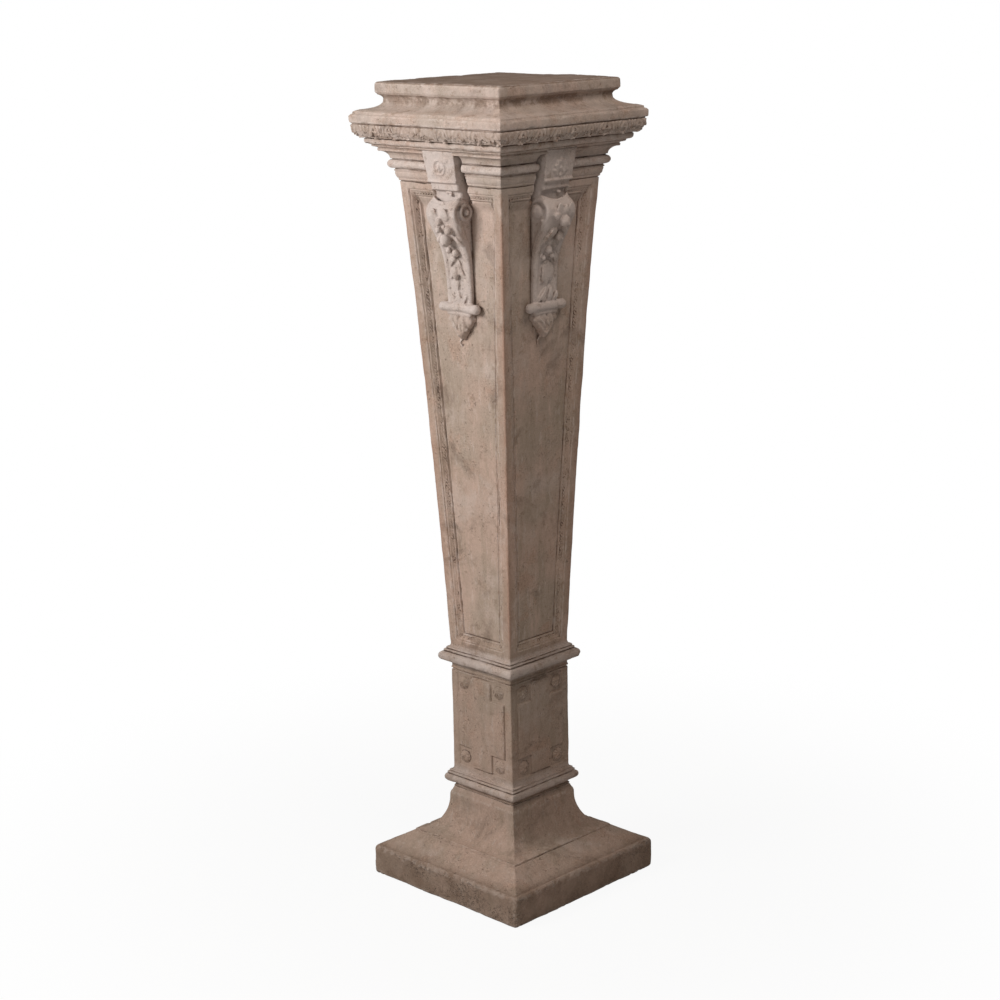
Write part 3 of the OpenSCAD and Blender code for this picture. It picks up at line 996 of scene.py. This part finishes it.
def washes(n, x, y, tall, pale):
    """A paler pink wash on the capital, the collars and the head of the shaft, brown spots,
    and redder margins beside the shaft's arrises.
    """
    if pale > 0:
        washed = (tall.rising(roll_z - 18.5, roll_z - 2.5) * 0.6 + 0.4) * pale
        shade = n.cloud.rising(0.62, 0.40) * 0.35 + 0.65
    else:
        past_shaft = tall.rising(shaft_z1 - 2, shaft_z1 + 8)
        head = tall.within(shaft_z1 - 350, shaft_z1 - 50, shaft_z1 - 2, shaft_z1 + 8) * 0.25
        mouldings = tall.within(shaft_z1 + 16, shaft_z1 + 20, shaft_z1 + 32, shaft_z1 + 38)
        head = head + past_shaft * 0.42 + mouldings * 0.35
        low_collar = tall.within(base_top + 2, base_top + 11, block_z0 - 4, block_z0 + 8)
        high_collar = tall.within(block_z1 + 2, block_z1 + 8, shaft_z0 - 5, shaft_z0 + 2)
        collars = low_collar * 0.60 + high_collar * 0.85
        washed = (head + collars).held()
        shade = n.cloud.rising(0.62, 0.40) * 0.45 + 0.55
    from_arris = (x.of("ABSOLUTE") - y.of("ABSOLUTE")).of("ABSOLUTE")
    margin = from_arris.rising(0.020, 0.004) * 0.6 + from_arris.rising(0.0045, 0.001) * 0.6
    margin = margin * tall.within(shaft_z0 - 7, shaft_z0 + 33, shaft_z1 - 20, shaft_z1)
    return [((shade * washed).held(), (0.560, 0.485, 0.452)),
            (n.spot.rising(0.57, 0.68) * 0.45, (0.225, 0.160, 0.112)),
            ((margin * n.streak.rising(0.36, 0.54)).held() * 0.75, (0.372, 0.228, 0.168))]


def stains_and_painted_shade(web, n, tall, dirt_and_shade):
    """Darker toward the bottom, dust and painted shade on the slab's top, stain in the cove, painted shadow
    specks in the leaf band, and dirt and painted shade in every hollow and groove.
    """
    hollow, crevice = (web.node("ShaderNodeAttribute", {"attribute_name": key}, out="Fac")
                       for key in ("hollow", "crevice"))
    # the plinth and the lower block are darker toward the bottom
    foot = tall.rising(plinth_h + 9, plinth_h - 3) * (0.30 + n.cloud.rising(0.3, 0.7) * 0.3)
    foot = foot + tall.rising(shaft_z0 + 33, shaft_z0 - 12) * 0.30
    # the slab's top is darkened, partly as dust and partly as painted shade of a top that gets little light
    top_dust_and_shade = tall.rising(height - 3, height - 0.8) * (0.78 + n.cloud.rising(0.4, 0.6) * 0.16)
    cove = tall.within(height - 34, height - 26, height - 19, height - 16)
    cove = cove * (n.cloud * 0.5 + n.spot * 0.5).rising(0.44, 0.56) * 0.6
    # dark specks painted as shadow in the carved leaf band
    leaf_band_shadow = tall.within(height - 79, height - 75, height - 60, height - 55)
    leaf_band_shadow = leaf_band_shadow * (n.speck * 0.6 + n.spot * 0.4).rising(0.40, 0.60)
    # hollows and grooves found by short rays are darkened, partly as dirt and partly as painted shade
    hollow_dirt_and_shade = hollow.rising(0.22, 0.75) * (0.22 + n.cloud.rising(0.38, 0.62) * 0.50) * dirt_and_shade
    groove_dirt_and_shade = crevice.rising(0.22, 0.62) * (0.34 + n.cloud.rising(0.40, 0.60) * 0.45) * dirt_and_shade
    return [((foot + top_dust_and_shade + cove).held(), (0.165, 0.112, 0.080)), (leaf_band_shadow * 0.42, (0.250, 0.180, 0.135)),
            (hollow_dirt_and_shade.held(), (0.135, 0.086, 0.060)), (groove_dirt_and_shade.held(), (0.075, 0.045, 0.031))]


def wear_and_edge_highlights(web, n, tall, pale, pits):
    """Worn arrises, some reddish and some worn pale, the pale ones also a painted highlight, and dark pits.
    """
    worn = web.node("ShaderNodeAttribute", {"attribute_name": "worn"}, out="Fac")
    edge_wear_and_highlight = worn.rising(0.40, 1.0) * (0.24 + tall.rising(shaft_z0 - 7, shaft_z0 + 13) * 0.36 + pale * 0.4)
    return [(edge_wear_and_highlight * n.spot.rising(0.48, 0.60) * 0.35, (0.430, 0.262, 0.190)),
            # the pale edges are partly wear and partly a painted highlight
            (edge_wear_and_highlight * n.spot.rising(0.66, 0.42) * 0.70, (0.66, 0.575, 0.53)),
            (pits * 0.48, (0.130, 0.084, 0.058))]


def stone_material(name, pale, dirt_and_shade):
    """Warm cast stone; pale washes it toward a lighter pink, and the last argument is how strongly its
    hollows and grooves darken, as dirt and as painted shade.
    """
    material = bpy.data.materials.new(name)
    web = shader_web(material)
    where = web.node("ShaderNodeTexCoord", out="Object")
    x, y, z = web.axes(where)
    tall = z * (1 / MM)
    n = stone_noises(web, where)
    pits = n.speck.rising(0.59, 0.68) * n.cloud.rising(0.40, 0.56)
    colour = (0.456, 0.332, 0.268, 1)
    layers = mottling(n) + washes(n, x, y, tall, pale) + stains_and_painted_shade(web, n, tall, dirt_and_shade)
    for amount, tone in layers + wear_and_edge_highlights(web, n, tall, pale, pits):
        colour = web.blend(amount, colour, (*tone, 1))
    light_grain = (n.grit * 0.45 + n.speck * 0.55).rising(0.36, 0.64)
    grain = web.blend(light_grain, (0.70, 0.69, 0.68, 1), (1.30, 1.30, 1.30, 1))
    colour = web.blend(0.26 + n.cloud.rising(0.40, 0.62) * 0.36, colour, grain, "MULTIPLY")
    # cuts in patches round the plinth's edge
    coarse = n.cuts.rising(0.50, 0.64) * n.light.rising(0.44, 0.58) * 1.8
    coarse = coarse * tall.rising(plinth_h, plinth_h - 6)
    relief = n.grit * 0.3 + n.speck * 0.8 + n.spot * 1.0 + n.thread * 0.5 - pits * 1.2 - coarse
    bump = web.node("ShaderNodeBump", None, {"Strength": 0.85, "Distance": 1.2 * MM, "Height": relief})
    shader = web.node("ShaderNodeBsdfPrincipled", None,
                      {"Base Color": colour, "Roughness": (0.86 + n.cloud * 0.12).held(), "Normal": bump,
                       "Specular IOR Level": 0.22})
    into_surface(web, "ShaderNodeOutputMaterial", shader)
    return material


# ----------------------------------------------------------- wear, as real shape
def wear_tree():
    """Uneven casting: slow wobble, chipped arrises and shallow pits."""
    tree, web, given = new_tree("cast_wear", {"Wobble": "Float", "Chip": "Float", "Pit": "Float"})
    where = web.node("GeometryNodeInputPosition")
    facing = web.node("GeometryNodeInputNormal")
    slow = web.noise(where, 14.0, 2.0, 0.5, 11.0) - 0.5
    quick = web.noise(where, 55.0, 3.0, 0.6, 12.0) - 0.5
    chips = web.crest(where, facing, 5).rising(0.00012, 0.0006)
    chips = chips * web.noise(where, 70.0, 3.0, 0.6, 13.0).rising(0.53, 0.72)
    holes = web.noise(where, 130.0, 3.0, 0.6, 14.0).rising(0.62, 0.72)
    move = (slow * 4.0 + quick * 1.1) * given["Wobble"] - chips * given["Chip"] - holes * given["Pit"]
    finish_tree(web, web.pushed(given["Geometry"], facing, move), given["Stone"])
    return tree


def hollow_and_wear_tree():
    """Stores how hollow, creviced and worn each point is, by short rays to what is around it."""
    tree, web, given = new_tree("stain_and_wear", {"Around": "Object", "Reach": "Float", "Crevice": "Float",
                                                   "Rub": "Float"})
    where = web.node("GeometryNodeInputPosition")
    facing = web.node("GeometryNodeInputNormal")
    around = web.source_mesh(given["Around"])
    clearance = 0.3 * MM
    start = web.vector("ADD", where, web.scaled(facing, clearance))
    rays, length, sharp_edge = 14, 0.97, 1.0
    broad = narrow = 0.0
    for k in range(rays):
        # directions spread evenly over a ball, then leaned along the surface's own facing
        up = 1 - (2 * k + 1) / rays
        turn = k * math.pi * (3 - math.sqrt(5))
        wide = length * math.sqrt(1 - up * up)
        lean = (wide * math.cos(turn), wide * math.sin(turn), length * up)
        ray = web.node("GeometryNodeRaycast", None,
                       {"Target Geometry": around, "Source Position": start,
                        "Ray Direction": web.vector("ADD", facing, lean), "Ray Length": given["Reach"]})
        hit, far = web.outputs(ray, ("Is Hit", "Hit Distance"))
        broad = broad + hit * (1.0 - far / given["Reach"])
        narrow = narrow + hit * (1.0 - far / given["Crevice"]).held()
    hollow = web.node("GeometryNodeBlurAttribute", {"data_type": "FLOAT"},
                      {"Value": (broad * (2.0 / rays)).held(), "Iterations": 1}, "Value")
    # worn later lightens convex edges, as wear and as a painted highlight
    stored = {"hollow": hollow, "crevice": (narrow * (2.2 / rays)).held(),
              "worn": web.crest(where, facing, 4).rising(0.0, 0.0005) * given["Rub"]}
    geometry = given["Geometry"]
    for key, value in stored.items():
        geometry = web.node("GeometryNodeStoreNamedAttribute", {"data_type": "FLOAT", "domain": "POINT"},
                            {"Geometry": geometry, "Name": key, "Value": value})
    geometry = web.node("GeometryNodeSetShadeSmooth", None, {"Geometry": geometry, "Shade Smooth": True})
    bend = web.node("GeometryNodeInputMeshEdgeAngle", None, None, "Unsigned Angle")
    geometry = web.node("GeometryNodeSetShadeSmooth", {"domain": "EDGE"},
                        {"Geometry": geometry, "Selection": bend.maths("GREATER_THAN", bend, sharp_edge),
                         "Shade Smooth": False})
    finish_tree(web, geometry, given["Stone"])
    return tree


# ------------------------------------------------------------- repeated carving
def strand_unit():
    """One slanting strand of the carved bands."""
    points, faces = ellipsoid((0, 0, 0), (4.5, 1.65, 0.9), 4, 7)
    slant = math.radians(38)
    x, y, z = points.T
    across = x * math.cos(slant) - y * math.sin(slant)
    along = x * math.sin(slant) + y * math.cos(slant)
    return mesh_object("strand_unit", np.stack([across, along, z], 1), faces)


def path_object(name, points, edges, attribute, vectors):
    """Points and edges in millimetres, with a direction or a turn stored on each point."""
    mesh = bpy.data.meshes.new(name)
    mesh.from_pydata((np.asarray(points) * MM).tolist(), edges, [])
    stored = mesh.attributes.new(attribute, "FLOAT_VECTOR", "POINT")
    stored.data.foreach_set("vector", np.asarray(vectors, np.float32).ravel())
    obj = bpy.data.objects.new(name, mesh)
    scene.collection.objects.link(obj)
    return obj


def band_paths():
    """Open paths along the middle of the carved band of each of the four panels."""
    middle = 5.9
    half_top = slot_half + 5
    z_low, z_high = panel_z0 + middle, panel_z1 - middle

    def corner(z):
        return shaft_half(z) - panel_margin - middle

    # stops down the right half as (across, height, lean across, lean up)
    stops = [(half_top, z_high, 0, -1), (corner(z_high), z_high, -0.7, -0.7)]
    stops += [(corner(z), z, -1, 0) for z in np.linspace(z_high - 8, z_low + 8, 60)]
    foot = corner(z_low)
    stops += [(foot, z_low, -0.7, 0.7), (foot - 8, z_low, 0, 1), (0, z_low, 0, 1)]
    right = np.array(stops)
    left = right[:-1][::-1] * (-1, 1, -1, 1)
    route = np.concatenate([right, left])
    across, z = route[:, 0], route[:, 1]
    depth = shaft_half(z) - panel_half(z)
    slope = np.where(z > z_high - 4, panel_head_slope, panel_band)
    normal = shaft_half(z) - middle / slope * depth - 0.9
    lean = route[:, 2:] * (depth / slope)[:, None]
    spots = np.stack([across, -normal, z], 1)
    outward = np.stack([lean[:, 0], -np.ones_like(z), lean[:, 1]], 1)
    starts = [turn * len(spots) for turn in range(4)]
    edges = [(start + i, start + i + 1) for start in starts for i in range(len(spots) - 1)]
    return path_object("panel_bands", on_four_sides(spots), edges, "outward", on_four_sides(outward))


def band_tree():
    """Strands set end to end along a path, facing outward."""
    tree, web, given = new_tree("carved_band", {"Strand": "Object", "Pitch": "Float", "Seed": "Int"})
    curve = web.node("GeometryNodeMeshToCurve", None, {"Mesh": given["Geometry"]})
    curve = web.node("GeometryNodeResampleCurve", {"mode": "LENGTH"},
                     {"Curve": curve, "Length": given["Pitch"]})
    turn = web.node("FunctionNodeAxesToRotation", {"primary_axis": "Z", "secondary_axis": "X"},
                    {"Primary Axis": web.stored_vector("outward"),
                     "Secondary Axis": web.node("GeometryNodeInputTangent")})
    size = web.node("FunctionNodeRandomValue", {"data_type": "FLOAT_VECTOR"},
                    {"Min": (0.8, 0.7, 0.3), "Max": (1.15, 1.2, 1.25), "Seed": given["Seed"]})
    strands = web.node("GeometryNodeInstanceOnPoints", None,
                       {"Points": curve, "Instance": web.source_mesh(given["Strand"]), "Rotation": turn,
                        "Scale": size})
    finish_tree(web, strands, given["Stone"])
    return tree


def leaf_band_tree():
    """Worn fans of leaves, curls and drilled holes carved into the cornice's rounded band."""
    tree, web, given = new_tree("carved_leaves", {"Pitch": "Float", "Foot": "Float", "Rise": "Float",
                                                  "Depth": "Float"})
    where = web.node("GeometryNodeInputPosition")
    facing = web.node("GeometryNodeInputNormal")
    x, y, z = web.axes(where)
    on_y_side = x.maths("LESS_THAN", x.of("ABSOLUTE"), y.of("ABSOLUTE"))
    along = x * on_y_side + y * (1.0 - on_y_side)
    up = ((z - given["Foot"]) / given["Rise"]).held()
    wander = (web.noise(where, 19.0, 2.0, 0.5, 21.0) - 0.5) * 0.9
    side = (along / given["Pitch"] + wander).of("FRACT") - 0.5
    away = side.of("ABSOLUTE")
    # each fan spreads from a point below its middle
    above = up * 0.75 + 0.22
    angle = side.maths("ARCTAN2", side, above)
    reach = (side * side + above * above).of("SQRT")
    strokes = (angle * 25.0).of("COSINE") * reach.rising(0.30, 0.50)
    valley = away.rising(0.36, 0.5) * up.rising(0.2, 0.6)
    # a curl round a drilled hole lies between two fans
    from_curl = ((away - 0.5) * (away - 0.5) + (up - 0.30) * (up - 0.30) * 0.3).of("SQRT")
    curl = from_curl.within(0.04, 0.10, 0.14, 0.20)
    hole = from_curl.rising(0.11, 0.05)
    pits = web.noise(where, 120.0, 2.0, 0.5, 22.0).rising(0.50, 0.57) * up.rising(0.50, 0.30)
    pits = pits * up.rising(0.05, 0.14)
    fresh = web.noise(where, 42.0, 3.0, 0.6, 23.0).rising(0.38, 0.62)
    ends = up.within(0.0, 0.10, 0.92, 1.0)
    relief = (strokes * 0.8 + curl * 1.2 - valley * 1.2) * (0.3 + fresh * 0.7) - hole * 2.6 - pits * 2.6
    finish_tree(web, web.pushed(given["Geometry"], facing, relief * given["Depth"] * ends), given["Stone"])
    return tree


def rosette_unit():
    """Low round shell, its ribs spread downward from a hinge, on the -Y face's plane."""
    half_across, half_tall, hinge, dome_rise, rib_depth = 10.6, 10.2, 4.5, 5.4, 2.0
    rings = []
    for u in np.linspace(0.04, 1, 11):
        ring = []
        for a in full_turns(40):
            x, z = half_across * u * math.sin(a), half_tall * u * math.cos(a)
            reach = math.hypot(x, z - hinge)
            ribs = 0.5 + 0.5 * math.cos(10 * math.atan2(x, hinge - z))
            dome = dome_rise * (1 - u ** 3) - 1.6
            cut = rib_depth * (1 - ribs) * ease(reach, 1.5, 5) * (1 - u ** 6) + 0.4 * dip(reach, 0, 2.4)
            ring.append((x, -(dome - cut), z))
        rings.append(ring)
    return mesh_object("rosette_unit", *loft(rings))


def rosette_tree():
    """A shell on each point, turned to its face."""
    tree, web, given = new_tree("corner_shells", {"Shell": "Object"})
    turn = web.node("FunctionNodeEulerToRotation", None, {"Euler": web.stored_vector("turned")})
    shells = web.node("GeometryNodeInstanceOnPoints", None,
                      {"Points": given["Geometry"], "Instance": web.source_mesh(given["Shell"]),
                       "Rotation": turn})
    finish_tree(web, shells, given["Stone"])
    return tree


def rosette_places():
    """Points for four shells on each face, each with its turn stored."""
    reach = cross_reach - corner_square / 2 + 2
    rise = cross_rise - corner_square / 2
    spots = [(side * reach, -half_block - 0.2, block_mid + up * rise) for side in (-1, 1) for up in (-1, 1)]
    turns = [(0.0, 0.0, turn * math.pi / 2) for turn in range(4) for _ in spots]
    return path_object("corner_shells", on_four_sides(spots), [], "turned", turns)


# ------------------------------------------------------------- camera and light
def place_camera():
    """Camera above and beside the front arris, looking a little down."""
    yaw, pitch, roll = math.radians(44.57), math.radians(-14.29), math.radians(-1.21)
    forward = Vector((-math.sin(yaw) * math.cos(pitch), math.cos(yaw) * math.cos(pitch), math.sin(pitch)))
    right = forward.cross(Vector((0, 0, 1))).normalized()
    up = right.cross(forward)
    right, up = (math.cos(roll) * right + math.sin(roll) * up, math.cos(roll) * up - math.sin(roll) * right)
    stand = Vector((1.79505954, -1.83294152, 1.14392411)) * (height * MM)
    data = bpy.data.cameras.new("camera")
    data.sensor_width = 36.0
    data.lens = 77.418
    camera = bpy.data.objects.new("camera", data)
    scene.collection.objects.link(camera)
    turned = Matrix((right, up, -forward)).transposed().to_4x4()
    camera.matrix_world = Matrix.Translation(stand) @ turned
    scene.camera = camera


def soft_box(name, place, aim, size, watts, tint):
    data = bpy.data.lights.new(name, "AREA")
    data.shape = "RECTANGLE"
    data.size, data.size_y = size
    data.energy = watts
    data.color = tint
    lamp = bpy.data.objects.new(name, data)
    scene.collection.objects.link(lamp)
    place, aim = Vector(place), Vector(aim)
    turned = (aim - place).to_track_quat("-Z", "Y").to_matrix().to_4x4()
    lamp.matrix_world = Matrix.Translation(place) @ turned


def seen_directly(web):
    """1 for camera, mirror and glass rays."""
    kinds = ("Is Camera Ray", "Is Glossy Ray", "Is Transmission Ray")
    seen, mirrored, through = web.outputs(web.node("ShaderNodeLightPath"), kinds)
    return (seen + mirrored + through).held()


def make_world(fill):
    """Warm dim surroundings that look white when seen directly."""
    world = bpy.data.worlds.new("studio")
    scene.world = world
    web = shader_web(world)
    dim = web.node("ShaderNodeBackground", None, {"Color": (1.0, 0.93, 0.85, 1), "Strength": fill})
    white = web.node("ShaderNodeBackground", None, {"Color": (1, 1, 1, 1), "Strength": 1.0})
    both = web.node("ShaderNodeMixShader", None, {0: seen_directly(web), 1: dim, 2: white})
    into_surface(web, "ShaderNodeOutputWorld", both)


def make_floor():
    """Pale floor that keeps the shadow near the foot and fades into the backdrop."""
    reach = 6000
    corners = [(-reach, -reach, 0), (reach, -reach, 0), (reach, reach, 0), (-reach, reach, 0)]
    floor = mesh_object("floor", corners, [(0, 1, 2, 3)])
    material = bpy.data.materials.new("pale_floor")
    web = shader_web(material)
    where = web.node("ShaderNodeTexCoord", out="Object")
    far = web.vector("LENGTH", where, (0, 0, 0), "Value")
    paper = web.node("ShaderNodeBsdfDiffuse", None, {"Color": (0.62, 0.61, 0.60, 1)})
    white = web.node("ShaderNodeEmission", None, {"Color": (1, 1, 1, 1), "Strength": 1.0})
    share = seen_directly(web) * (0.93 + far.rising(0.25, 1.1) * 0.07)
    both = web.node("ShaderNodeMixShader", None, {0: share.held(), 1: paper, 2: white})
    into_surface(web, "ShaderNodeOutputMaterial", both)
    floor.data.materials.append(material)


# ------------------------------------------------------------------ put together
place_camera()
scene.view_settings.view_transform = "Standard"
make_world(0.09)
make_floor()
soft_box("key", (-0.60, -1.72, 1.56), (0, 0, 0.80), (0.9, 0.6), 35, (1.0, 0.985, 0.97))
soft_box("high_right", (0.98, -0.10, 2.35), (0, 0, 0.8), (0.7, 0.7), 11.5, (1.0, 0.90, 0.82))
soft_box("front_fill", (1.15, -1.40, 1.20), (0, 0, 0.8), (0.9, 0.9), 4.5, (1.0, 0.95, 0.90))

# the last argument sets how strongly hollows and grooves darken, as dirt and as painted shade
stone = stone_material("worn_cast_stone", pale=0.0, dirt_and_shade=1.0)
pale_stone = stone_material("pale_cast_stone", pale=0.95, dirt_and_shade=0.9)
pieces = [make_base(), make_block(), make_shaft(), make_capital()]
leaves = make_leaf_band()
brackets = [("bracket_front", 0, True, 1), ("bracket_right", 1, False, 1),
            ("bracket_back", 2, True, -1), ("bracket_left", 3, False, -1)]
bracket_pieces = [make_bracket(*b) for b in brackets]

units = [strand_unit(), rosette_unit()]
bands = grown(band_paths(), band_tree(), stone, {"Strand": units[0], "Pitch": 5.3 * MM, "Seed": 3})
shells = grown(rosette_places(), rosette_tree(), stone, {"Shell": units[1]})
for unit in units:
    bpy.data.objects.remove(unit)
grown(leaves, leaf_band_tree(), stone, {"Pitch": 34 * MM, "Foot": (height - 77) * MM,
                                        "Rise": 19.5 * MM, "Depth": 1.6 * MM})

everything = pieces + bracket_pieces + [bands, leaves, shells]
stones = [pale_stone if piece in bracket_pieces else stone for piece in everything]
wear = wear_tree()
plain_wear = {"Wobble": 1.0 * MM, "Chip": 2.2 * MM, "Pit": 0.45 * MM}
carved_wear = {"Wobble": 0.7 * MM, "Chip": 0.5 * MM, "Pit": 0.2 * MM}
for piece, skin in zip(everything, stones):
    grown(piece, wear, skin, plain_wear if piece in pieces else carved_wear)

around = bpy.data.meshes.new("around")
work = bmesh.new()
for piece in everything:
    work.from_mesh(piece.data)
work.to_mesh(around)
work.free()
around = bpy.data.objects.new("around", around)
scene.collection.objects.link(around)
# the hollow and crevice values darken the stone's colour as dirt and as painted shade
hollow_tree = hollow_and_wear_tree()
for piece, skin in zip(everything, stones):
    grown(piece, hollow_tree, skin, {"Around": around, "Reach": 13 * MM, "Crevice": 3.2 * MM,
                               "Rub": 0.3 if piece is bands else 1.0})
bpy.data.objects.remove(around)

for piece in everything:
    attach(piece, "root")
    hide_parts("pedestal")
